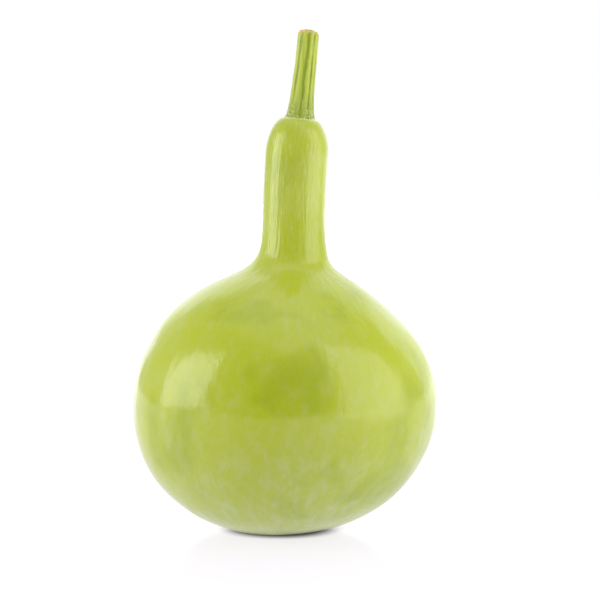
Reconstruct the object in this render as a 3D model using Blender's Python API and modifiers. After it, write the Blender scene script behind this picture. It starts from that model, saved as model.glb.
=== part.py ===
"""Bottle gourd standing on its blossom end, with its cut stalk.

Metres, +Z up. The origin is the centre of the small flat that the fruit stands on. The neck and the
stalk lean towards +X.
"""

from math import cos, exp, pi, radians, sin

import bpy
from mathutils import Vector
from mathutils.geometry import interpolate_bezier

# The bulb, a squashed ball: its lower half is a little squarer than an ellipse, its upper half less so
BULB_RADIUS = 0.0660
BULB_WIDEST_HEIGHT = 0.0555
LOWER_HALF_HEIGHT = 0.0574
UPPER_HALF_HEIGHT = 0.0599
LOWER_SQUARENESS = 2.12
UPPER_SQUARENESS = 1.84
BULB_TOP_ANGLE = radians(55.5)

# The neck, and the hollow curve that runs into it from the bulb
NECK_RADIUS = 0.01335
NECK_WAIST_HEIGHT = 0.1430
NECK_SWELLING = 0.0002
HOLLOW_PULL_FROM_BULB = 0.0237
HOLLOW_PULL_FROM_NECK = 0.0330

# The rounded top of the neck, and the seat that the stalk grows from
ROUNDING_HEIGHT = 0.1645
ROUNDING_SQUARENESS = 1.75
SEAT_HEIGHT = 0.1790
SEAT_RADIUS = 0.0068
SEAT_TILT = radians(5)

# How far the fruit's middle lies towards +X: the bulb bulges that way, its shoulder falls back, and the
# neck stands over to that side and bends further on its way up
BULB_SHIFT = 0.0017
FALLING_BACK_HEIGHT = 0.0810
SHOULDER_HEIGHT = 0.0975
SHOULDER_SHIFT = 0.0002
NECK_FOOT_HEIGHT = 0.1250
NECK_SHIFT = 0.0056
NECK_BEND = 0.0028

# The stalk: it tapers from its foot to its end, and flares where it meets the seat
STALK_LENGTH = 0.0379
STALK_GAP = 0.0003
STALK_LEAN = radians(5.9)
LEAN_REACHED_AT = 0.25
STALK_END_RADIUS = 0.00455
STALK_TAPER = 0.00175
STALK_TAPER_REACH = 0.30
FOOT_FLARE = 0.00060
FOOT_FLARE_REACH = 0.05
STALK_RIBS = 10
RIB_DEPTH = 0.11
RIB_FULLNESS = 0.7

# How finely the round shapes are divided; the stalk's stations crowd towards its foot
FRUIT_TURNS = 48
BULB_POINTS = 27
HOLLOW_POINTS = 11
NECK_POINTS = 4
ROUNDING_POINTS = 8
LEAN_LAYERS = 16
STALK_STATIONS = 9
CROWDING_AT_FOOT = 1.6
POINTS_PER_RIB = 6

SKIN_COLOUR = (0.42, 0.50, 0.09)
SKIN_ROUGHNESS = 0.38
STALK_COLOUR = (0.34, 0.42, 0.08)
STALK_ROUGHNESS = 0.60


def clear_scene():
    """Removes whatever the scene holds."""
    for scene_object in list(bpy.data.objects):
        bpy.data.objects.remove(scene_object, do_unlink=True)


def new_collection(name):
    """Adds a collection to the scene."""
    collection = bpy.data.collections.new(name)
    bpy.context.scene.collection.children.link(collection)
    return collection


def new_material(name, colour, roughness):
    """Makes a plain material, as nothing of the gourd is metal."""
    material = bpy.data.materials.new(name)
    material.use_nodes = True
    shader = material.node_tree.nodes["Principled BSDF"]
    shader.inputs["Base Color"].default_value = (*colour, 1.0)
    shader.inputs["Roughness"].default_value = roughness
    shader.inputs["Metallic"].default_value = 0.0
    return material


def as_guide(helper):
    """Keeps a helper out of the object itself."""
    helper.hide_render = True
    helper.display_type = "WIRE"
    return helper


def spread(start, end, count):
    """Evenly spaced values from start to end, both included."""
    return [start + (end - start) * step / (count - 1) for step in range(count)]


def squared(value, squareness):
    """A cosine or sine bent towards a square's outline, with its sign kept."""
    return abs(value) ** (2 / squareness) * (1 if value >= 0 else -1)


def eased(value, start, end):
    """How far a value is from start to end, from 0 to 1, easing in and out."""
    share = min(1, max(0, (value - start) / (end - start)))
    return share * share * (3 - 2 * share)


def sideways(height):
    """How far the fruit's middle lies towards +X at a height."""
    shift = BULB_SHIFT * eased(height, 0, BULB_WIDEST_HEIGHT)
    shift += (SHOULDER_SHIFT - BULB_SHIFT) * eased(height, FALLING_BACK_HEIGHT, SHOULDER_HEIGHT)
    shift += (NECK_SHIFT - SHOULDER_SHIFT) * eased(height, SHOULDER_HEIGHT, NECK_FOOT_HEIGHT)
    up_the_neck = max(0, (height - NECK_FOOT_HEIGHT) / (SEAT_HEIGHT - NECK_FOOT_HEIGHT))
    return shift + NECK_BEND * up_the_neck**2


def bulb_point(angle):
    """A point of the bulb's outline, with angle 0 at its widest and a right angle at its top."""
    half_height = UPPER_HALF_HEIGHT if angle > 0 else LOWER_HALF_HEIGHT
    squareness = UPPER_SQUARENESS if angle > 0 else LOWER_SQUARENESS
    radius = BULB_RADIUS * squared(cos(angle), squareness)
    return Vector((radius, 0, BULB_WIDEST_HEIGHT + half_height * squared(sin(angle), squareness)))


def bulb_outline():
    """From the rim of the flat underneath to where the hollow curve starts."""
    points = [bulb_point(angle) for angle in spread(-pi / 2, BULB_TOP_ANGLE, BULB_POINTS)]
    below = [point for point in points if point.z <= 0][-1]
    standing = [point for point in points if point.z > 0]
    rim = below.lerp(standing[0], -below.z / (standing[0].z - below.z))
    rim.z = 0
    return [rim] + standing


def hollow_outline():
    """The concave curve between the bulb and the neck, tangent to both."""
    start = bulb_point(BULB_TOP_ANGLE)
    just_before = bulb_point(BULB_TOP_ANGLE - radians(0.5))
    rising = (start - just_before).normalized()
    end = Vector((NECK_RADIUS, 0, NECK_WAIST_HEIGHT))
    curve = interpolate_bezier(
        start,
        start + rising * HOLLOW_PULL_FROM_BULB,
        end - Vector((0, 0, HOLLOW_PULL_FROM_NECK)),
        end,
        HOLLOW_POINTS,
    )
    return curve[1:]


def neck_outline():
    """The neck above its waist, which swells very slightly towards its top."""
    points = []
    for share in spread(0, 1, NECK_POINTS)[1:]:
        swelling = NECK_SWELLING * (1 - cos(pi * share)) / 2
        height = NECK_WAIST_HEIGHT + (ROUNDING_HEIGHT - NECK_WAIST_HEIGHT) * share
        points.append(Vector((NECK_RADIUS + swelling, 0, height)))
    return points


def rounding_outline():
    """The rounded top of the neck, up to the rim of the seat."""
    rounding = NECK_RADIUS + NECK_SWELLING - SEAT_RADIUS
    points = []
    for angle in spread(0, pi / 2, ROUNDING_POINTS)[1:]:
        radius = SEAT_RADIUS + rounding * squared(cos(angle), ROUNDING_SQUARENESS)
        rise = (SEAT_HEIGHT - ROUNDING_HEIGHT) * squared(sin(angle), ROUNDING_SQUARENESS)
        points.append(Vector((radius, 0, ROUNDING_HEIGHT + rise)))
    return points


def fruit_outline():
    """Half of the fruit's outline, from the middle of its seat down to the middle of its flat."""
    rising = bulb_outline() + hollow_outline() + neck_outline() + rounding_outline()
    return [Vector((0, 0, SEAT_HEIGHT))] + rising[::-1] + [Vector((0, 0, 0))]


def make_lean_cage(collection):
    """A cage of flat layers that are slid sideways, with its top layer tilted as the seat is."""
    cage = bpy.data.lattices.new("lean_cage")
    cage.points_u = cage.points_v = 2
    cage.points_w = LEAN_LAYERS
    cage.interpolation_type_u = cage.interpolation_type_v = "KEY_LINEAR"
    cage.interpolation_type_w = "KEY_CATMULL_ROM"
    cage_object = bpy.data.objects.new("lean_cage", cage)
    cage_object.location = (0, 0, SEAT_HEIGHT / 2)
    width = 2 * BULB_RADIUS
    span = cage.points[-1].co - cage.points[0].co
    cage_object.scale = (width / span.x, width / span.y, SEAT_HEIGHT / span.z)
    for index, point in enumerate(cage.points):
        layer = index // 4
        height = SEAT_HEIGHT * layer / (LEAN_LAYERS - 1)
        point.co_deform.x += sideways(height) / cage_object.scale.x
        if layer == LEAN_LAYERS - 1:
            side = 1 if point.co.x > 0 else -1
            point.co_deform.z -= side * BULB_RADIUS * sin(SEAT_TILT) / cage_object.scale.z
    collection.objects.link(cage_object)
    return as_guide(cage_object)


def make_fruit(collection, cage, material):
    """The fruit: its outline turned about Z, and then leaned over by the cage."""
    outline = fruit_outline()
    mesh = bpy.data.meshes.new("fruit")
    mesh.from_pydata(outline, [(i, i + 1) for i in range(len(outline) - 1)], [])
    mesh.materials.append(material)
    fruit = bpy.data.objects.new("fruit", mesh)
    collection.objects.link(fruit)

    turn = fruit.modifiers.new("Turn", "SCREW")
    turn.axis = "Z"
    turn.angle = 2 * pi
    turn.steps = turn.render_steps = FRUIT_TURNS
    turn.use_merge_vertices = True
    turn.merge_threshold = 0.00001
    turn.use_smooth_shade = True

    lean = fruit.modifiers.new("Lean", "LATTICE")
    lean.object = cage


def make_rib_section(collection):
    """The stalk's cross-section, with unit radius: rounded ribs with grooves between them."""
    curve = bpy.data.curves.new("rib_section", "CURVE")
    curve.dimensions = "2D"
    spline = curve.splines.new("POLY")
    count = STALK_RIBS * POINTS_PER_RIB
    spline.points.add(count - 1)
    for index, point in enumerate(spline.points):
        angle = -2 * pi * index / count
        height_on_rib = abs(sin(angle * STALK_RIBS / 2)) ** RIB_FULLNESS
        radius = 1 - RIB_DEPTH * (1 - height_on_rib)
        point.co = (radius * cos(angle), radius * sin(angle), 0, 1)
    spline.use_cyclic_u = True
    section = bpy.data.objects.new("rib_section", curve)
    collection.objects.link(section)
    return as_guide(section)


def stalk_radius(share):
    """The stalk's radius over its ribs at a share of its length."""
    taper = STALK_TAPER * exp(-share / STALK_TAPER_REACH)
    return STALK_END_RADIUS + taper + FOOT_FLARE * exp(-share / FOOT_FLARE_REACH)


def make_stem(collection, section, material):
    """The stalk, which starts a small gap off the seat and then leans further than the seat tilts."""
    off_seat = Vector((sin(SEAT_TILT), 0, cos(SEAT_TILT)))
    leaning = Vector((sin(STALK_LEAN), 0, cos(STALK_LEAN)))
    foot = Vector((sideways(SEAT_HEIGHT), 0, SEAT_HEIGHT)) + off_seat * STALK_GAP

    curve = bpy.data.curves.new("stem", "CURVE")
    curve.dimensions = "3D"
    spline = curve.splines.new("POLY")
    spline.points.add(STALK_STATIONS - 1)
    for point, step in zip(spline.points, spread(0, 1, STALK_STATIONS)):
        share = step**CROWDING_AT_FOOT
        direction = off_seat.lerp(leaning, min(1, share / LEAN_REACHED_AT)).normalized()
        point.co = (*(foot + direction * STALK_LENGTH * share), 1)
        point.radius = stalk_radius(share)
    curve.bevel_mode = "OBJECT"
    curve.bevel_object = section
    curve.use_fill_caps = True
    curve.materials.append(material)
    collection.objects.link(bpy.data.objects.new("stem", curve))


def main():
    """Builds the fruit and its stalk."""
    clear_scene()
    parts = new_collection("bottle_gourd")
    guides = new_collection("guides")
    skin = new_material("gourd_skin", SKIN_COLOUR, SKIN_ROUGHNESS)
    stalk = new_material("gourd_stalk", STALK_COLOUR, STALK_ROUGHNESS)
    make_fruit(parts, make_lean_cage(guides), skin)
    make_stem(parts, make_rib_section(guides), stalk)


main()
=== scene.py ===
"""Looks of a bottle gourd: a waxy, mottled fruit with a ribbed cut stalk, on a pale studio floor.

Metres, +Z up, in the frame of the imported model. The fruit stands on its blossom end at the origin, and its
neck and stalk lean towards +X. The camera looks along +Y.
"""

import logging
from dataclasses import dataclass, field, replace
from enum import Enum
from math import atan2, cos, exp, pi, radians, sin

import bmesh
import bpy
import numpy as np
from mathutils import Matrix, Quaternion, Vector
from mathutils.geometry import interpolate_bezier


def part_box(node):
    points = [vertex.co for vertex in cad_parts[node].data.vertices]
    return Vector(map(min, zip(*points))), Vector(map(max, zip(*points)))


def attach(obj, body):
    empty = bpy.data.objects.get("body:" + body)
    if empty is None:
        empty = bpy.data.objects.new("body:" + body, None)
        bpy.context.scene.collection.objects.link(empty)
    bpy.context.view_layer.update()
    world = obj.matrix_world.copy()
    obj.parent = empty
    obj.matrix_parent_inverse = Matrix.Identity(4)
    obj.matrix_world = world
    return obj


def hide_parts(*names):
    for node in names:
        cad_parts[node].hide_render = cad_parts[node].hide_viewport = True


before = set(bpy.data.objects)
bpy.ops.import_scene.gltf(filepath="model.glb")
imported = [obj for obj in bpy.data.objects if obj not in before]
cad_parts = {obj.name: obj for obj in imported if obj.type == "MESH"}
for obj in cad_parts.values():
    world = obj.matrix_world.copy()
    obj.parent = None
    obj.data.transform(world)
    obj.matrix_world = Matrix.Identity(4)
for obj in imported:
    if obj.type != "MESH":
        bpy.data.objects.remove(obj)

log = logging.getLogger("bottle_gourd")
Colour = tuple[float, float, float]


class Slot(Enum):
    """The record's material slots."""

    SKIN = "gourd_skin"
    STALK = "gourd_stalk"


# ---------------------------------------------------------------- modelling by hand


@dataclass(frozen=True)
class Ring:
    """One ring of a piece that is drawn upwards or inwards ring by ring.

    Attributes:
        sideways: where its middle lies along X.
        height: where its middle lies along Z.
        radius: its radius.
        tilt: how far its +X side is lowered, in radians.
        slant: how far its -Y side is raised, in radians.
        turn: how far it is turned about Z, in radians.
    """

    sideways: float
    height: float
    radius: float
    tilt: float = 0.0
    slant: float = 0.0
    turn: float = 0.0

    @property
    def middle(self) -> Vector:
        """The ring's middle."""
        return Vector((self.sideways, 0, self.height))


def deselect_everything() -> None:
    """Leaves no object selected, so that an operator works on the new piece only."""
    bpy.ops.object.select_all(action="DESELECT")


def edit(piece: bpy.types.Object) -> None:
    """Opens a piece in edit mode with vertices selectable.

    Args:
        piece: the object to edit.
    """
    deselect_everything()
    piece.select_set(True)
    bpy.context.view_layer.objects.active = piece
    bpy.ops.object.mode_set(mode="EDIT")
    bpy.ops.mesh.select_mode(type="VERT")


def leave_edit() -> None:
    """Goes back to object mode."""
    bpy.ops.object.mode_set(mode="OBJECT")


def start_ring(name: str, first: Ring, corners: int) -> bpy.types.Object:
    """Adds the circle that a piece is drawn from and opens it in edit mode.

    Args:
        name: the piece's name.
        first: the ring to start from.
        corners: how many corners every ring has.

    Returns:
        The new piece, in edit mode with its ring selected.
    """
    deselect_everything()
    bpy.ops.mesh.primitive_circle_add(vertices=corners, radius=first.radius, location=first.middle)
    piece = bpy.context.object
    piece.name = piece.data.name = name
    bpy.ops.object.transform_apply(location=True, rotation=True, scale=True)
    edit(piece)
    bpy.ops.mesh.select_all(action="SELECT")
    turn_selection(first.tilt, "Y", first.middle)
    return piece


def turn_selection(angle: float, axis: str, middle: Vector) -> None:
    """Turns what is selected about a point.

    Args:
        angle: how far, in radians, by the right-hand rule.
        axis: the axis to turn about.
        middle: the point to turn about.
    """
    if abs(angle) > 1e-7:
        bpy.ops.transform.rotate(value=-angle, orient_axis=axis, center_override=middle)


def draw_rings(rings: list[Ring]) -> None:
    """Extrudes the selected ring through a list of others, each from the one before it.

    Args:
        rings: the rings in order, the first of them the one that is selected.
    """
    for before, after in zip(rings, rings[1:]):
        step = after.middle - before.middle
        bpy.ops.mesh.extrude_edges_move(TRANSFORM_OT_translate={"value": step})
        factor = after.radius / before.radius
        bpy.ops.transform.resize(value=(factor,) * 3, center_override=after.middle)
        turn_selection(after.turn - before.turn, "Z", after.middle)
        turn_selection(after.tilt - before.tilt, "Y", after.middle)
        turn_selection(before.slant - after.slant, "X", after.middle)


def close_ring() -> None:
    """Closes the selected ring with faces that meet in its middle."""
    bpy.ops.mesh.extrude_edges_move(TRANSFORM_OT_translate={"value": (0, 0, 0)})
    bpy.ops.mesh.merge(type="CENTER")


def finish_modifiers(piece: bpy.types.Object) -> None:
    """Applies every modifier of a piece, in order.

    Args:
        piece: the object whose modifiers are applied.
    """
    deselect_everything()
    piece.select_set(True)
    bpy.context.view_layer.objects.active = piece
    for modifier in list(piece.modifiers):
        bpy.ops.object.modifier_apply(modifier=modifier.name)


def round_off(piece: bpy.types.Object, levels: int) -> None:
    """Rounds a coarse piece with Subdivision Surface.

    Args:
        piece: the coarse object.
        levels: how many times each face is divided.
    """
    smoothing = piece.modifiers.new("Rounding", "SUBSURF")
    smoothing.levels = smoothing.render_levels = levels


def uneven(piece: bpy.types.Object, name: str, size: float, amount: float) -> None:
    """Makes a grown surface slightly uneven.

    Args:
        piece: the object to make uneven.
        name: a name for the unevenness.
        size: how wide its swellings are.
        amount: how far it may move the surface from its lowest to its highest.
    """
    swelling = bpy.data.textures.new(name, "CLOUDS")
    swelling.noise_scale = size
    swelling.noise_depth = 1
    modifier = piece.modifiers.new(name, "DISPLACE")
    modifier.texture = swelling
    modifier.texture_coords = "LOCAL"
    modifier.strength = amount
    modifier.mid_level = 0.5


def points_of(piece: bpy.types.Object) -> np.ndarray:
    """Reads a piece's vertices.

    Args:
        piece: a mesh object.

    Returns:
        An array of one row of x, y and z for each vertex.
    """
    points = np.empty(len(piece.data.vertices) * 3)
    piece.data.vertices.foreach_get("co", points)
    return points.reshape(-1, 3)


def put_points(piece: bpy.types.Object, points: np.ndarray) -> None:
    """Writes a piece's vertices.

    Args:
        piece: a mesh object.
        points: one row of x, y and z for each vertex.
    """
    piece.data.vertices.foreach_set("co", points.ravel())
    piece.data.update()


def store(piece: bpy.types.Object, name: str, values: np.ndarray) -> None:
    """Stores an attribute on a piece's vertices for its material to read.

    Args:
        piece: a mesh object.
        name: the attribute's name.
        values: one number, or one row of three numbers, for each vertex.
    """
    kind, field_name = ("FLOAT", "value") if values.ndim == 1 else ("FLOAT_VECTOR", "vector")
    attribute = piece.data.attributes.new(name, kind, "POINT")
    attribute.data.foreach_set(field_name, values.astype(np.float32).ravel())


def face_outwards(piece: bpy.types.Object) -> None:
    """Turns all faces of a closed piece outwards and shades them smooth.

    Args:
        piece: the finished object.
    """
    edit(piece)
    bpy.ops.mesh.select_all(action="SELECT")
    bpy.ops.mesh.normals_make_consistent(inside=False)
    leave_edit()
    bpy.ops.object.shade_smooth()


def spread(start: float, end: float, count: int) -> list[float]:
    """Divides a range evenly.

    Args:
        start: the first value.
        end: the last value.
        count: how many values there are, both ends included.

    Returns:
        The values in order.
    """
    return [start + (end - start) * step / (count - 1) for step in range(count)]


def squared(value: float, squareness: float) -> float:
    """Bends a cosine or sine towards a square's outline.

    Args:
        value: the cosine or sine.
        squareness: 2 for an ellipse, and more for a squarer outline.

    Returns:
        The bent value with its sign kept.
    """
    return abs(value) ** (2 / squareness) * (1 if value >= 0 else -1)


def eased(value: float, start: float, end: float) -> float:
    """Says how far a value is from start to end, easing in and out.

    Args:
        value: the value.
        start: where 0 is.
        end: where 1 is.

    Returns:
        A share from 0 to 1.
    """
    share = min(1, max(0, (value - start) / (end - start)))
    return share * share * (3 - 2 * share)


# ---------------------------------------------------------------- materials


@dataclass
class Workbench:
    """A new material's node tree, with short ways to add to it.

    Attributes:
        name: the material's name.
    """

    name: str
    material: bpy.types.Material = field(init=False)

    def __post_init__(self) -> None:
        """Makes the material."""
        self.material = bpy.data.materials.new(self.name)
        self.material.use_nodes = True

    @property
    def shader(self) -> bpy.types.Node:
        """The material's Principled shader."""
        return self.material.node_tree.nodes["Principled BSDF"]

    def add(self, kind: str, **settings: object) -> bpy.types.Node:
        """Adds a node.

        Args:
            kind: the node's type, without its ShaderNode prefix.
            **settings: properties to set on it.

        Returns:
            The new node.
        """
        node = self.material.node_tree.nodes.new("ShaderNode" + kind)
        for name, value in settings.items():
            setattr(node, name, value)
        return node

    def join(self, source: object, target: bpy.types.NodeSocket) -> None:
        """Links a socket to another, or sets a constant on it.

        Args:
            source: an output socket, or a number or colour.
            target: the input socket.
        """
        if isinstance(source, bpy.types.NodeSocket):
            self.material.node_tree.links.new(source, target)
        elif isinstance(source, tuple) and len(source) == 3 and target.type == "RGBA":
            target.default_value = (*source, 1.0)
        else:
            target.default_value = source

    def place(self, scale: tuple[float, float, float], attribute: str = "") -> bpy.types.NodeSocket:
        """Gives coordinates for a pattern, from the object or from an attribute of its vertices.

        Args:
            scale: how much finer the pattern gets along each axis.
            attribute: the vector attribute to read, or nothing for Object coordinates.

        Returns:
            The scaled coordinates.
        """
        if attribute:
            source = self.add("Attribute", attribute_name=attribute).outputs["Vector"]
        else:
            source = self.add("TexCoord").outputs["Object"]
        mapping = self.add("Mapping")
        self.join(source, mapping.inputs["Vector"])
        mapping.inputs["Scale"].default_value = scale
        return mapping.outputs["Vector"]

    def number(self, attribute: str) -> bpy.types.NodeSocket:
        """Reads a number that is stored on the vertices.

        Args:
            attribute: the attribute's name.

        Returns:
            The number.
        """
        return self.add("Attribute", attribute_name=attribute).outputs["Fac"]

    def noise(
        self,
        place: bpy.types.NodeSocket,
        detail: float = 3,
        rough: float = 0.5,
        warp: float = 0.0,
    ) -> bpy.types.NodeSocket:
        """Adds soft random patches.

        Args:
            place: the coordinates.
            detail: how many finer layers there are.
            rough: how strong the finer layers are.
            warp: how much the patches are pulled about.

        Returns:
            Values between 0 and 1, mostly near a half.
        """
        node = self.add("TexNoise")
        self.join(place, node.inputs["Vector"])
        node.inputs["Scale"].default_value = 1.0
        node.inputs["Detail"].default_value = detail
        node.inputs["Roughness"].default_value = rough
        node.inputs["Distortion"].default_value = warp
        return node.outputs["Fac"]

    def span(
        self,
        value: object,
        low: float,
        high: float,
        to_low: float = 0.0,
        to_high: float = 1.0,
    ) -> bpy.types.NodeSocket:
        """Stretches a range of values, smoothly and with both ends held.

        Args:
            value: the value to stretch.
            low: the value that becomes to_low.
            high: the value that becomes to_high.
            to_low: the result at low.
            to_high: the result at high.

        Returns:
            The stretched value.
        """
        node = self.add("MapRange", interpolation_type="SMOOTHSTEP")
        self.join(value, node.inputs["Value"])
        for name, number in (("From Min", low), ("From Max", high), ("To Min", to_low), ("To Max", to_high)):
            node.inputs[name].default_value = number
        return node.outputs["Result"]

    def calculate(
        self,
        operation: str,
        first: object,
        second: object,
        third: object = None,
    ) -> bpy.types.NodeSocket:
        """Works out one number from two or three.

        Args:
            operation: a Math node's operation.
            first: the first number or socket.
            second: the second number or socket.
            third: the third one, for an operation that takes three.

        Returns:
            The result.
        """
        node = self.add("Math", operation=operation)
        self.join(first, node.inputs[0])
        self.join(second, node.inputs[1])
        if third is not None:
            self.join(third, node.inputs[2])
        return node.outputs["Value"]

    def mix(self, share: object, first: object, second: object) -> bpy.types.NodeSocket:
        """Mixes two colours.

        Args:
            share: how much of the second colour there is.
            first: the first colour or socket.
            second: the second colour or socket.

        Returns:
            The mixed colour.
        """
        node = self.add("Mix", data_type="RGBA")
        self.join(share, node.inputs[0])
        self.join(first, node.inputs[6])
        self.join(second, node.inputs[7])
        return node.outputs[2]

    def bump(
        self,
        height: bpy.types.NodeSocket,
        depth: float,
        before: object = None,
    ) -> bpy.types.NodeSocket:
        """Adds fine relief.

        Args:
            height: the relief, 0 to 1.
            depth: how deep it is, in metres.
            before: the normal of coarser relief, if there is any.

        Returns:
            The bumped normal.
        """
        node = self.add("Bump")
        node.inputs["Strength"].default_value = 1.0
        node.inputs["Distance"].default_value = depth
        self.join(height, node.inputs["Height"])
        if before is not None:
            self.join(before, node.inputs["Normal"])
        return node.outputs["Normal"]


@dataclass(frozen=True)
class SkinFinish:
    """The fruit's waxy green skin, with mottling, fibres along its growth and a few freckles.

    Its "grain" attribute runs round the fruit in x and y and along its outline, in metres, in z. "height" is
    in metres, and "neck", "scar" and "lip" are 1 on those parts and 0 elsewhere, the lip less than fully.
    The lip's pale colour is a painted highlight.
    """

    green: Colour = (0.415, 0.488, 0.003)
    deep_green: Colour = (0.285, 0.370, 0.002)
    pale_green: Colour = (0.485, 0.552, 0.240)
    fibre_colour: Colour = (0.540, 0.585, 0.180)
    freckle_colour: Colour = (0.250, 0.350, 0.003)
    lip_highlight_colour: Colour = (0.640, 0.670, 0.300)
    scar_colour: Colour = (0.300, 0.210, 0.090)
    roughness: tuple[float, float] = (0.15, 0.22)
    floor_glare_below: tuple[float, float] = (0.005, 0.062)

    def make(self) -> bpy.types.Material:
        """Builds the material.

        Returns:
            The skin material.
        """
        bench = Workbench(Slot.SKIN.value + "_finish")
        colour = self.mottling(bench)
        colour = self.fibres(bench, colour)
        colour = bench.mix(self.freckles(bench), colour, self.freckle_colour)
        # Painted highlight: a pale line on the lip round the stalk's foot.
        colour = bench.mix(bench.number("lip"), colour, self.lip_highlight_colour)
        colour = bench.mix(bench.number("scar"), colour, self.scar_colour)
        bench.join(colour, bench.shader.inputs["Base Color"])

        bloom = bench.noise(bench.place((60, 60, 45)), detail=3)
        bench.join(bench.span(bloom, 0.35, 0.65, *self.roughness), bench.shader.inputs["Roughness"])
        pores = bench.noise(bench.place((700, 700, 500)), detail=2)
        waves = bench.noise(bench.place((9, 9, 70), "grain"), detail=3, rough=0.5, warp=0.4)
        coarse = bench.bump(waves, 0.00030)
        bench.join(bench.bump(pores, 0.00002, coarse), bench.shader.inputs["Normal"])
        bench.shader.inputs["IOR"].default_value = 1.52
        bench.shader.inputs["Sheen Weight"].default_value = 0.10
        bench.shader.inputs["Sheen Roughness"].default_value = 0.35
        return bench.material

    def mottling(self, bench: Workbench) -> bpy.types.NodeSocket:
        """Lays soft pale cloudlets over the green, more of them towards the blossom end, and pales the whole
        lower bulb as a painted reflection of the bright floor.

        Args:
            bench: the material being built.

        Returns:
            The mottled colour.
        """
        broad = bench.noise(bench.place((24, 24, 15)), detail=3, rough=0.55, warp=0.4)
        broad = bench.span(broad, 0.38, 0.68)
        # Painted reflection of the bright floor: the skin gets paler from the widest part down to the
        # blossom end.
        low = bench.span(bench.number("height"), *self.floor_glare_below, 1, 0)
        broad_patches_and_floor_glare = bench.calculate("MULTIPLY_ADD", broad, 0.22, bench.calculate("MULTIPLY", low, 0.50))
        cloudlets = bench.noise(bench.place((13, 13, 120), "grain"), detail=4, rough=0.60, warp=0.3)
        cloudlets = bench.span(cloudlets, 0.44, 0.68)
        finer = bench.noise(bench.place((34, 34, 300), "grain"), detail=3, rough=0.6, warp=0.2)
        finer = bench.span(finer, 0.40, 0.70)
        finer = bench.calculate("MULTIPLY", finer, 0.25)
        clouds = bench.calculate("MULTIPLY_ADD", cloudlets, 0.50, finer)
        strength = bench.calculate("MULTIPLY_ADD", broad_patches_and_floor_glare, 1.0, 0.22)
        evenly = bench.calculate("MULTIPLY", broad_patches_and_floor_glare, 0.45)
        paleness = bench.calculate("MULTIPLY_ADD", clouds, strength, evenly)
        colour = bench.mix(paleness, self.green, self.pale_green)
        dark = bench.noise(bench.place((30, 30, 22)), detail=3, rough=0.6, warp=0.3)
        return bench.mix(bench.span(dark, 0.50, 0.70, 0, 0.55), colour, self.deep_green)

    def fibres(self, bench: Workbench, colour: bpy.types.NodeSocket) -> bpy.types.NodeSocket:
        """Draws short pale streaks along the growth of the neck and the shoulder.

        Args:
            bench: the material being built.
            colour: the colour to draw on.

        Returns:
            The streaked colour.
        """
        streaks = bench.noise(bench.place((17, 17, 190), "grain"), detail=4, rough=0.65, warp=0.6)
        much = bench.calculate("MULTIPLY_ADD", bench.number("neck"), 0.42, 0.06)
        strokes = bench.calculate("MULTIPLY", bench.span(streaks, 0.48, 0.68), much)
        return bench.mix(strokes, colour, self.fibre_colour)

    def freckles(self, bench: Workbench) -> bpy.types.NodeSocket:
        """Adds a few soft dark green freckles.

        Args:
            bench: the material being built.

        Returns:
            How much freckle there is at each place.
        """
        cells = bench.add("TexVoronoi")
        bench.join(bench.place((38, 38, 30)), cells.inputs["Vector"])
        cells.inputs["Scale"].default_value = 1.0
        cells.inputs["Randomness"].default_value = 1.0
        near = bench.span(cells.outputs["Distance"], 0.03, 0.13, 1, 0)
        chosen = bench.add("SeparateColor")
        bench.join(cells.outputs["Color"], chosen.inputs["Color"])
        few = bench.span(chosen.outputs["Red"], 0.55, 0.8, 0, 0.6)
        return bench.calculate("MULTIPLY", near, few)


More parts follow.
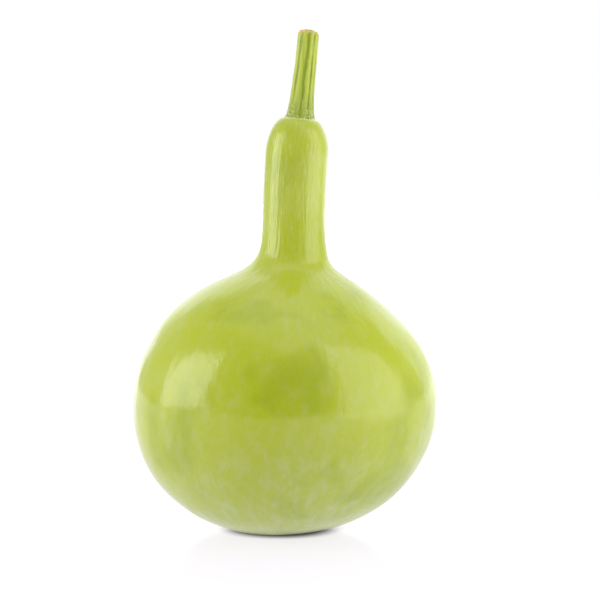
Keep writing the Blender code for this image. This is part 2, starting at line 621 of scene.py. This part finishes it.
@dataclass(frozen=True)
class StalkFinish:
    """The stalk: pale ribs, grooves darkened with painted shade, a speckled foot and a dried cut end.

    Its attributes are "rib", 1 on a rib and 0 in a groove, "along", 0 at the foot and 1 at the end, "off",
    the way from the middle line in radii, "cut", 1 on the cut end, and "dry", 1 there and fading below it.
    """

    rib_colour: Colour = (0.470, 0.540, 0.060)
    groove_shade_colour: Colour = (0.220, 0.310, 0.004)
    foot_colour: Colour = (0.180, 0.260, 0.008)
    speck_colour: Colour = (0.640, 0.680, 0.360)
    flesh_colour: Colour = (0.620, 0.620, 0.260)
    bundle_colour: Colour = (0.420, 0.400, 0.080)
    dried_colour: Colour = (0.620, 0.350, 0.060)

    def make(self) -> bpy.types.Material:
        """Builds the material.

        Returns:
            The stalk material.
        """
        bench = Workbench(Slot.STALK.value + "_finish")
        streaks = bench.noise(bench.place((1000, 1000, 55)), detail=3, rough=0.6, warp=0.3)
        unevenly = bench.span(streaks, 0.3, 0.7, -0.45, 0.45)
        rib = bench.calculate("ADD", bench.number("rib"), unevenly)
        # Painted shade: the grooves between the ribs are coloured darker than the ribs.
        colour = bench.mix(bench.span(rib, 0.05, 0.95), self.groove_shade_colour, self.rib_colour)
        along = bench.number("along")
        colour = bench.mix(bench.span(along, 0.0, 0.40, 0.62, 0), colour, self.foot_colour)

        specks = bench.noise(bench.place((1500, 1500, 900)), detail=1)
        foot_only = bench.span(along, 0.02, 0.26, 0.8, 0.05)
        speckled = bench.calculate("MULTIPLY", bench.span(specks, 0.54, 0.66), foot_only)
        colour = bench.mix(speckled, colour, self.speck_colour)

        drying = bench.noise(bench.place((420, 420, 420)), detail=3)
        brown = bench.calculate("MULTIPLY", bench.number("dry"), bench.span(drying, 0.45, 0.62))
        colour = bench.mix(brown, colour, self.dried_colour)
        colour = bench.mix(bench.number("cut"), colour, self.cut_face(bench, drying))
        bench.join(colour, bench.shader.inputs["Base Color"])
        bench.join(bench.span(streaks, 0.3, 0.7, 0.45, 0.62), bench.shader.inputs["Roughness"])
        bench.join(bench.bump(streaks, 0.00018), bench.shader.inputs["Normal"])
        bench.shader.inputs["IOR"].default_value = 1.45
        bench.shader.inputs["Sheen Weight"].default_value = 0.20
        bench.shader.inputs["Sheen Roughness"].default_value = 0.4
        return bench.material

    def cut_face(self, bench: Workbench, drying: bpy.types.NodeSocket) -> bpy.types.NodeSocket:
        """Colours the cut end: pale flesh, a ring of darker strands, and brown where it has dried.

        Args:
            bench: the material being built.
            drying: soft random patches.

        Returns:
            The cut end's colour.
        """
        strands = bench.add("TexVoronoi")
        bench.join(bench.place((3.2, 3.2, 3.2), "off"), strands.inputs["Vector"])
        strands.inputs["Scale"].default_value = 1.0
        dots = bench.span(strands.outputs["Distance"], 0.18, 0.36, 0.9, 0)
        colour = bench.mix(dots, self.flesh_colour, self.bundle_colour)
        return bench.mix(bench.span(drying, 0.46, 0.60, 0.1, 0.8), colour, self.dried_colour)


@dataclass(frozen=True)
class FloorFinish:
    """A smooth pale sheet that glows into the white behind it, and glows less where the fruit stands: a
    painted contact shadow.
    """

    white: Colour = (0.17, 0.163, 0.19)
    glow_colour: Colour = (0.98, 0.96, 1.0)
    contact_shadow_glow: float = 0.05
    glow_out: float = 0.80
    glow_far: float = 0.98
    contact_shadow_reach: tuple[float, float] = (0.017, 0.029)
    far_reach: tuple[float, float] = (0.05, 0.35)
    roughness: float = 0.07

    def make(self) -> bpy.types.Material:
        """Builds the material.

        Returns:
            The floor material.
        """
        bench = Workbench("floor_finish")
        wear = bench.noise(bench.place((3, 3, 3)), detail=2)
        roughness = bench.span(wear, 0.3, 0.7, self.roughness, self.roughness + 0.04)
        bench.join(roughness, bench.shader.inputs["Roughness"])
        bench.join(self.white, bench.shader.inputs["Base Color"])
        bench.join(self.glow_colour, bench.shader.inputs["Emission Color"])
        away = bench.add("VectorMath", operation="LENGTH")
        bench.join(bench.place((1, 1, 1)), away.inputs[0])
        distance = away.outputs["Value"]
        # Painted contact shadow: the glow drops almost to nothing within about three centimetres of the
        # fruit's foot.
        glow_with_contact_shadow = bench.span(distance, *self.contact_shadow_reach, self.contact_shadow_glow, self.glow_out)
        # Painted soft shade: the glow keeps rising out to about a third of a metre from the fruit.
        further = bench.span(distance, *self.far_reach, 0, self.glow_far - self.glow_out)
        glow = bench.calculate("ADD", glow_with_contact_shadow, further)
        bench.join(glow, bench.shader.inputs["Emission Strength"])
        bench.shader.inputs["IOR"].default_value = 1.05
        return bench.material


# ---------------------------------------------------------------- the fruit


@dataclass
class Fruit:
    """The whole fruit: bulb, hollow shoulder, neck, rounded top with its seat, and blossom end.

    The bulb is a squashed ball. The main heights and radii are shares of the fruit's own, and the shifts,
    the pulls of the hollow, the lip and the scar are in metres.
    """

    radius: float
    seat_height: float
    widest: float = 0.3101
    lower_half: float = 0.3207
    upper_half: float = 0.3346
    lower_squareness: float = 2.12
    upper_squareness: float = 1.89
    bulb_top_angle: float = radians(55.5)
    neck_share: float = 0.2023
    waist: float = 0.7989
    hollow_pull_from_bulb: float = 0.0237
    hollow_pull_from_neck: float = 0.0330
    rounding: float = 0.9190
    rounding_squareness: float = 1.75
    seat_share: float = 0.099
    seat_drop: float = 0.0006
    seat_tilt: float = radians(5)
    top_tilt: float = radians(6)
    bulb_shift: float = 0.0017
    shoulder_shift: float = 0.0002
    neck_shift: float = 0.0056
    neck_bend: float = 0.0028
    falling_back: float = 0.4525
    shoulder: float = 0.5447
    neck_foot: float = 0.6983
    lip: tuple[tuple[float, float], ...] = (
        (1.03, 0.00010),
        (1.03, 0.00030),
        (0.99, 0.00040),
        (0.90, 0.0002),
        (0.55, 0.0),
    )
    lip_depth: float = 0.0004
    scar_radius: float = 0.0058
    scar_edge: float = 0.002
    neck_fade: float = 0.03
    corners: int = 48
    piece: bpy.types.Object = field(init=False)

    @classmethod
    def from_frame(cls) -> "Fruit":
        """Takes the fruit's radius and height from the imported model.

        Returns:
            A fruit of the model's size.
        """
        low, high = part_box("fruit")
        radius = (high.y - low.y) / 2
        seat_rim_lift = radius * cls.seat_share * sin(cls.seat_tilt)
        return cls(radius=radius, seat_height=high.z - seat_rim_lift)

    @property
    def seat_top(self) -> float:
        """The height of the seat's middle, a little below the model's to leave room for the lip."""
        return self.seat_height - self.seat_drop

    def bulb(self, angle: float) -> tuple[float, float]:
        """Gives a point of the bulb's outline.

        Args:
            angle: 0 at its widest, and a right angle at its top.

        Returns:
            Its radius and height.
        """
        upper = angle > 0
        half_height = (self.upper_half if upper else self.lower_half) * self.seat_height
        squareness = self.upper_squareness if upper else self.lower_squareness
        across = self.radius * squared(cos(angle), squareness)
        return across, self.widest * self.seat_height + half_height * squared(sin(angle), squareness)

    def middle_at(self, height: float) -> float:
        """Says how far towards +X the fruit's middle lies.

        The bulb bulges to that side, its shoulder falls back, and the neck stands over again and bends on.

        Args:
            height: the height above the ground.

        Returns:
            The sideways distance.
        """
        share = height / self.seat_height
        shift = self.bulb_shift * eased(share, 0, self.widest)
        shift += (self.shoulder_shift - self.bulb_shift) * eased(share, self.falling_back, self.shoulder)
        shift += (self.neck_shift - self.shoulder_shift) * eased(share, self.shoulder, self.neck_foot)
        up_the_neck = max(0, (share - self.neck_foot) / (1 - self.neck_foot))
        return shift + self.neck_bend * up_the_neck**2

    def outline(self) -> list[tuple[float, float]]:
        """Draws the visible outline, from just above the ground to the rim of the seat.

        Returns:
            Radius and height of each point.
        """
        bulb = [self.bulb(angle) for angle in spread(radians(-71), self.bulb_top_angle, 24)]
        start = Vector(bulb[-1])
        rising = (start - Vector(self.bulb(self.bulb_top_angle - radians(0.5)))).normalized()
        neck = Vector((self.neck_share * self.radius, self.waist * self.seat_height))
        hollow = interpolate_bezier(
            start.to_3d(),
            (start + rising * self.hollow_pull_from_bulb).to_3d(),
            (neck - Vector((0, self.hollow_pull_from_neck))).to_3d(),
            neck.to_3d(),
            13,
        )
        points = bulb + [(point.x, point.y) for point in hollow[1:]]
        round_from = self.rounding * self.seat_height
        points += [(neck.x, height) for height in spread(neck.y, round_from, 4)[1:]]
        seat = self.seat_share * self.radius
        for angle in spread(0, pi / 2, 9)[1:]:
            across = seat + (neck.x - seat) * squared(cos(angle), self.rounding_squareness)
            rise = (self.seat_top - round_from) * squared(sin(angle), self.rounding_squareness)
            points.append((across, round_from + rise))
        return points

    def rings(self) -> list[Ring]:
        """Turns the outline into rings that follow the fruit's lean, with the seat's small lip at the end.

        Returns:
            The rings from the ground up.
        """
        rings = []
        round_from = self.rounding * self.seat_height
        for across, height in self.outline():
            share = eased(height, self.waist * self.seat_height, self.seat_height)
            rings.append(Ring(self.middle_at(height), height, across, self.top_tilt * share))
        rim = rings[-1]
        for factor, rise in self.lip:
            rings.append(Ring(rim.sideways, rim.height + rise, rim.radius * factor, rim.tilt))
        return rings

    def blossom_end(self, lowest: Ring) -> list[Ring]:
        """Draws the flat that the fruit stands on and the shallow puckered scar in its middle.

        Args:
            lowest: the lowest ring of the outline.

        Returns:
            The rings from there inwards.
        """
        steps = (
            (0.0178, 0.00010),
            (0.0160, 0.0),
            (0.0135, 0.00004),
            (0.0105, 0.00045),
            (0.0078, 0.00100),
            (0.0058, 0.00125),
            (0.0048, 0.00085),
            (0.0038, 0.00080),
            (0.0030, 0.00130),
            (0.0016, 0.00150),
            (0.0007, 0.00110),
        )
        return [lowest] + [Ring(0, height, radius) for radius, height in steps]

    def model(self) -> bpy.types.Object:
        """Draws the fruit ring by ring, rounds it and makes it slightly uneven.

        Returns:
            The fruit.
        """
        drawn_in = (2 + cos(2 * pi / self.corners)) / 3
        rings = [replace(ring, radius=ring.radius / drawn_in) for ring in self.rings()]
        piece = start_ring("gourd_fruit", rings[0], self.corners)
        draw_rings(rings)
        close_ring()
        bpy.ops.mesh.select_all(action="DESELECT")
        leave_edit()
        for corner in piece.data.vertices[: self.corners]:
            corner.select = True
        edit(piece)
        draw_rings(self.blossom_end(rings[0]))
        close_ring()
        leave_edit()
        round_off(piece, 2)
        uneven(piece, "broad_swelling", 0.045, 0.0012)
        uneven(piece, "small_swelling", 0.016, 0.00035)
        finish_modifiers(piece)
        self.settle(piece)
        face_outwards(piece)
        self.store_growth(piece)
        self.piece = piece
        return piece

    def settle(self, piece: bpy.types.Object) -> None:
        """Presses the unevenness flat where the fruit stands.

        Args:
            piece: the fruit.
        """
        points = points_of(piece)
        points[:, 2] = np.maximum(points[:, 2], 0)
        put_points(piece, points)

    def store_growth(self, piece: bpy.types.Object) -> None:
        """Stores the directions of growth that the skin's pattern follows.

        Args:
            piece: the fruit.
        """
        points = points_of(piece)
        middles = np.array([self.middle_at(height) for height in points[:, 2]])
        across = np.hypot(points[:, 0] - middles, points[:, 1])
        angle = np.arctan2(points[:, 1], points[:, 0] - middles)
        store(piece, "height", points[:, 2])
        outline = np.array([(0.0, 0.0)] + self.outline())
        run = np.concatenate([[0], np.cumsum(np.hypot(*np.diff(outline, axis=0).T))])
        nearest = np.empty(len(points), int)
        for index, (x, z) in enumerate(zip(across, points[:, 2])):
            nearest[index] = np.argmin((outline[:, 0] - x) ** 2 + (outline[:, 1] - z) ** 2)
        start = outline[np.maximum(nearest - 1, 0)]
        end = outline[np.minimum(nearest + 1, len(outline) - 1)]
        along = end - start
        length = np.maximum(np.hypot(*along.T), 1e-6)
        outwards = (across - outline[nearest, 0]) * along[:, 0]
        upwards = (points[:, 2] - outline[nearest, 1]) * along[:, 1]
        grown = run[nearest] + (outwards + upwards) / length
        store(piece, "grain", np.stack([np.cos(angle), np.sin(angle), grown], axis=1))
        neck_from = self.bulb(self.bulb_top_angle)[1]
        rise = np.clip((points[:, 2] - neck_from) / self.neck_fade, 0, 1)
        store(piece, "neck", rise)
        under = points[:, 2] < 0.004
        scar = np.clip((self.scar_radius - across) / self.scar_edge, 0, 1) * under
        store(piece, "scar", scar)
        seat = self.seat_share * self.radius
        lowered = sin(self.top_tilt) * (points[:, 0] - self.middle_at(self.seat_height))
        on_top = points[:, 2] + lowered > self.seat_top - self.lip_depth
        # The lip mask carries the painted highlight colour of the skin.
        store(piece, "lip", np.where(on_top & (across < seat * 1.2), 0.8, 0.0))

    def dress(self, finish: SkinFinish) -> None:
        """Gives the fruit its skin and puts it in the frame.

        Args:
            finish: the skin.
        """
        self.piece.data.materials.append(finish.make())
        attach(self.piece, "root")
        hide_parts("fruit")


# ---------------------------------------------------------------- the stalk


@dataclass
class Stalk:
    """The cut stalk: ten ribs on a leaning core, a flared foot and a slanting, slightly hollow cut end."""

    foot: Vector
    length: float
    lean: float = radians(5.9)
    foot_tilt: float = radians(6)
    cut_tilt: float = radians(10)
    cut_slant: float = radians(24)
    cut_from: float = 0.66
    twist: float = radians(9)
    ribs: int = 10
    corners_per_rib: int = 8
    rib_depth: float = 0.075
    first_rib: float = radians(-9)
    deepest_at: float = radians(-58)
    end_radius: float = 0.00445
    taper: float = 0.00160
    taper_reach: float = 0.30
    flare: float = 0.00070
    flare_reach: float = 0.04
    cut_depth: float = 0.0012
    cut_edge: float = 0.0004
    dry_depth: float = 0.0035
    near_foot: tuple[float, ...] = (0, 0.015, 0.04, 0.08, 0.14, 0.22, 0.33)
    near_end: tuple[float, ...] = (0.46, 0.58, 0.68, 0.755, 0.83, 0.885, 0.920, 0.930)
    cut: tuple[tuple[float, float], ...] = (
        (0.97, 0.00012),
        (0.90, 0.00008),
        (0.80, -0.00012),
        (0.62, -0.00020),
        (0.50, -0.00005),
        (0.40, -0.00012),
        (0.26, -0.00060),
        (0.12, -0.00085),
    )
    piece: bpy.types.Object = field(init=False)

    @property
    def shares(self) -> tuple[float, ...]:
        """Where the rings are, from 0 at the foot towards 1 at the model's end."""
        return self.near_foot + self.near_end

    @classmethod
    def from_frame(cls, fruit: Fruit) -> "Stalk":
        """Takes the stalk's place from the fruit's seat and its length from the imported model.

        Args:
            fruit: the fruit that it grows from.

        Returns:
            A stalk of the model's size.
        """
        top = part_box("stem")[1].z
        foot = Vector((fruit.middle_at(fruit.seat_height), 0, fruit.seat_top))
        return cls(foot=foot, length=(top - foot.z) / cos(cls.lean))

    def middle_at(self, share: float) -> Vector:
        """Gives a point of the stalk's middle line.

        Args:
            share: 0 at the foot and 1 at the end.

        Returns:
            The point.
        """
        lean = self.foot_tilt + (self.lean - self.foot_tilt) * min(1, share * 4)
        return self.foot + Vector((sin(lean), 0, cos(lean))) * self.length * share

    def rings(self) -> list[Ring]:
        """Lays out the rings from the foot to the middle of the slanting cut end.

        Returns:
            The rings in order.
        """
        rings = []
        for share in self.shares:
            middle = self.middle_at(share)
            to_cut = max(0, (share - self.cut_from) / (self.shares[-1] - self.cut_from))
            tilt = self.foot_tilt + (self.lean - self.foot_tilt) * min(1, share * 4)
            tilt += (self.cut_tilt - self.lean) * to_cut
            slant = self.cut_slant * to_cut
            rings.append(Ring(middle.x, middle.z, self.radius_at(share), tilt, slant, self.twist * share))
        last = rings[-1]
        for factor, rise in self.cut:
            height = last.height + rise
            rings.append(replace(last, height=height, radius=last.radius * factor))
        return rings

    def radius_at(self, share: float) -> float:
        """Gives the radius over the ribs.

        Args:
            share: 0 at the foot and 1 at the end.

        Returns:
            The radius.
        """
        taper = self.taper * exp(-share / self.taper_reach)
        flare = self.flare * exp(-share / self.flare_reach)
        return self.end_radius + taper + flare

    def on_rib(self, angle: np.ndarray) -> np.ndarray:
        """Says how far up on a rib a direction is.

        Args:
            angle: directions about the middle line, counted from +X.

        Returns:
            1 on the crest of a rib and 0 in a groove.
        """
        wander = 0.10 * np.sin(2 * angle + 1.0)
        return np.abs(np.cos((angle + wander - self.first_rib) * self.ribs / 2)) ** 0.8

    def press_grooves(self, piece: bpy.types.Object, middle: Vector) -> None:
        """Turns the round starting circle into ribs and grooves.

        Args:
            piece: the piece in edit mode.
            middle: the circle's middle.
        """
        shape = bmesh.from_edit_mesh(piece.data)
        for corner in shape.verts:
            outwards = corner.co - middle
            angle = atan2(outwards.y, outwards.x)
            depth = self.rib_depth * (1 + 0.5 * cos(angle - self.deepest_at))
            crease = 0.010 * cos(27 * angle)
            corner.co = middle + outwards * (1 - depth * (1 - float(self.on_rib(angle))) + crease)
        bmesh.update_edit_mesh(piece.data)

    def model(self) -> bpy.types.Object:
        """Draws the stalk ring by ring and rounds it.

        Returns:
            The stalk.
        """
        rings = self.rings()
        corners = self.ribs * self.corners_per_rib
        piece = start_ring("gourd_stalk", rings[0], corners)
        self.press_grooves(piece, rings[0].middle)
        bpy.ops.mesh.select_all(action="SELECT")
        draw_rings(rings)
        close_ring()
        bpy.ops.mesh.select_all(action="DESELECT")
        leave_edit()
        for corner in piece.data.vertices[:corners]:
            corner.select = True
        edit(piece)
        foot = rings[0]
        inside = [Ring(foot.sideways, foot.height - 0.0002, foot.radius * 0.9, foot.tilt)]
        draw_rings([foot] + inside)
        close_ring()
        leave_edit()
        round_off(piece, 2)
        uneven(piece, "stalk_swelling", 0.006, 0.0003)
        finish_modifiers(piece)
        face_outwards(piece)
        self.store_growth(piece)
        self.piece = piece
        return piece

    def store_growth(self, piece: bpy.types.Object) -> None:
        """Stores where ribs, foot and cut end are, for the finish to follow.

        Args:
            piece: the stalk.
        """
        points = points_of(piece)
        axis = np.array([sin(self.lean), 0, cos(self.lean)])
        shares = np.clip((points - np.array(self.foot)) @ axis / self.length, 0, 1)
        off = points - np.array([self.middle_at(share) for share in shares])
        angle = np.arctan2(off[:, 1], off[:, 0]) - self.twist * shares
        across = np.hypot(off[:, 0], off[:, 1])
        store(piece, "rib", self.on_rib(angle))
        store(piece, "along", shares)
        store(piece, "off", off / self.end_radius)
        end = self.rings()[len(self.shares) - 1]
        facing = np.array([sin(end.tilt), sin(end.slant), cos(end.slant)])
        below_cut = (points - np.array(end.middle)) @ facing
        inside = np.clip((0.97 - across / end.radius) / 0.08, 0, 1)
        store(piece, "cut", np.clip((below_cut + self.cut_depth) / self.cut_edge, 0, 1) * inside)
        store(piece, "dry", np.clip((below_cut + self.dry_depth) / self.dry_depth, 0, 1))

    def dress(self, finish: StalkFinish) -> None:
        """Gives the stalk its finish and puts it in the frame.

        Args:
            finish: the stalk's finish.
        """
        self.piece.data.materials.append(finish.make())
        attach(self.piece, "root")
        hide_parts("stem")


# ---------------------------------------------------------------- the studio


@dataclass
class Studio:
    """Floor, white surroundings, two tall softboxes at the sides, and the camera."""

    camera_distance: float = 1.1
    camera_height: float = 0.194
    camera_sideways: float = 0.0084
    camera_pitch: float = radians(4.883)
    lens: float = 152.8
    floor_size: float = 6.0
    backdrop_towards: tuple[float, float, float] = (0.19, 0.93, 0.30)
    backdrop_reach: float = radians(38)
    backdrop_edge: float = radians(5)
    backdrop_light: float = 1.4
    ceiling_light: float = 1.30
    room_light: float = 0.66
    front_light: float = 0.28
    ceiling_from: tuple[float, float] = (0.75, 0.90)
    front_from: tuple[float, float] = (-0.45, -0.90)

    def lay_floor(self) -> bpy.types.Object:
        """Lays the pale floor.

        Returns:
            The floor.
        """
        deselect_everything()
        bpy.ops.mesh.primitive_plane_add(size=self.floor_size, location=(0, 0, -0.0001))
        floor = bpy.context.object
        floor.name = "floor"
        bpy.ops.object.transform_apply(location=True, rotation=True, scale=True)
        floor.data.materials.append(FloorFinish().make())
        return floor

    def surround(self) -> None:
        """Makes the surroundings: white to look at, and as light brighter behind and above, dim in front."""
        world = bpy.data.worlds.new("studio")
        bpy.context.scene.world = world
        world.use_nodes = True
        tree = world.node_tree
        light = tree.nodes["Background"]
        light.inputs["Color"].default_value = (1, 1, 1, 1)
        direction = tree.nodes.new("ShaderNodeTexCoord").outputs["Generated"]
        towards = tree.nodes.new("ShaderNodeVectorMath")
        towards.operation = "DOT_PRODUCT"
        tree.links.new(direction, towards.inputs[0])
        towards.inputs[1].default_value = Vector(self.backdrop_towards).normalized()
        behind = tree.nodes.new("ShaderNodeMapRange")
        behind.inputs["From Min"].default_value = cos(self.backdrop_reach + self.backdrop_edge)
        behind.inputs["From Max"].default_value = cos(self.backdrop_reach)
        behind.inputs["To Min"].default_value = 0
        behind.inputs["To Max"].default_value = self.backdrop_light
        tree.links.new(towards.outputs["Value"], behind.inputs["Value"])
        split = tree.nodes.new("ShaderNodeSeparateXYZ")
        tree.links.new(direction, split.inputs["Vector"])
        above = tree.nodes.new("ShaderNodeMapRange")
        above.inputs["From Min"].default_value = self.ceiling_from[0]
        above.inputs["From Max"].default_value = self.ceiling_from[1]
        above.inputs["To Max"].default_value = self.ceiling_light
        tree.links.new(split.outputs["Z"], above.inputs["Value"])
        front = tree.nodes.new("ShaderNodeMapRange")
        front.inputs["From Min"].default_value = self.front_from[0]
        front.inputs["From Max"].default_value = self.front_from[1]
        front.inputs["To Min"].default_value = self.room_light
        front.inputs["To Max"].default_value = self.front_light
        tree.links.new(split.outputs["Y"], front.inputs["Value"])
        strength = front.outputs["Result"]
        for other in (behind, above):
            either = tree.nodes.new("ShaderNodeMath")
            either.operation = "MAXIMUM"
            tree.links.new(strength, either.inputs[0])
            tree.links.new(other.outputs["Result"], either.inputs[1])
            strength = either.outputs["Value"]
        seen = tree.nodes.new("ShaderNodeLightPath")
        choose = tree.nodes.new("ShaderNodeMix")
        tree.links.new(seen.outputs["Is Camera Ray"], choose.inputs["Factor"])
        tree.links.new(strength, choose.inputs["A"])
        choose.inputs["B"].default_value = 1.0
        tree.links.new(choose.outputs["Result"], light.inputs["Strength"])

    def softbox(
        self,
        name: str,
        near: Vector,
        far: Vector,
        height: float,
        radiance: float,
        roll: float,
    ) -> None:
        """Hangs a softbox up between two places, facing the gourd.

        Args:
            name: its name.
            near: the lower corner nearer to the camera, before the roll.
            far: the other lower corner.
            height: how high it is.
            radiance: how bright its face is.
            roll: how far it is turned in its own plane, in radians.
        """
        panel = bpy.data.lights.new(name, "AREA")
        panel.shape = "RECTANGLE"
        along = far - near
        panel.size, panel.size_y = along.length, height
        panel.energy = radiance * pi * along.length * height
        lamp = bpy.data.objects.new(name, panel)
        bpy.context.scene.collection.objects.link(lamp)
        middle = (near + far) / 2 + Vector((0, 0, height / 2))
        facing = Vector((along.y, -along.x, 0)).normalized()
        if facing.dot(middle) > 0:
            facing = -facing
        lamp.location = middle
        upright = (-facing).to_track_quat("Z", "Y")
        lamp.rotation_euler = (upright @ Quaternion((0, 0, 1), roll)).to_euler()

    def hang_lights(self) -> None:
        """Hangs up a softbox at each side."""
        near_left, far_left = Vector((-0.70, -0.37, 0.07)), Vector((-1.27, 0.27, 0.07))
        near_right, far_right = Vector((0.34, -0.34, -0.05)), Vector((1.10, 0.20, -0.05))
        self.softbox("softbox_left", near_left, far_left, 0.68, 3.5, radians(5))
        self.softbox("softbox_right", near_right, far_right, 0.78, 1.75, radians(-8))

    def place_camera(self) -> None:
        """Places the camera in front, level with the stalk and looking slightly down."""
        lens = bpy.data.cameras.new("camera")
        lens.lens = self.lens
        lens.sensor_width = 36
        lens.clip_start, lens.clip_end = 0.05, 50
        camera = bpy.data.objects.new("camera", lens)
        bpy.context.scene.collection.objects.link(camera)
        camera.location = (self.camera_sideways, -self.camera_distance, self.camera_height)
        camera.rotation_euler = (pi / 2 - self.camera_pitch, 0, 0)
        bpy.context.scene.camera = camera

    def build(self) -> None:
        """Sets up the whole studio."""
        self.lay_floor()
        self.surround()
        self.hang_lights()
        self.place_camera()
        bpy.context.scene.view_settings.view_transform = "Standard"


def main() -> None:
    """Builds the gourd and the studio."""
    logging.basicConfig(level=logging.INFO, format="%(message)s")
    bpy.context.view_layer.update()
    fruit = Fruit.from_frame()
    stalk = Stalk.from_frame(fruit)
    for part, finish in ((fruit, SkinFinish()), (stalk, StalkFinish())):
        piece = part.model()
        part.dress(finish)
        log.info("%s: %d faces", piece.name, len(piece.data.polygons))
    Studio().build()


if __name__ == "__main__":
    main()
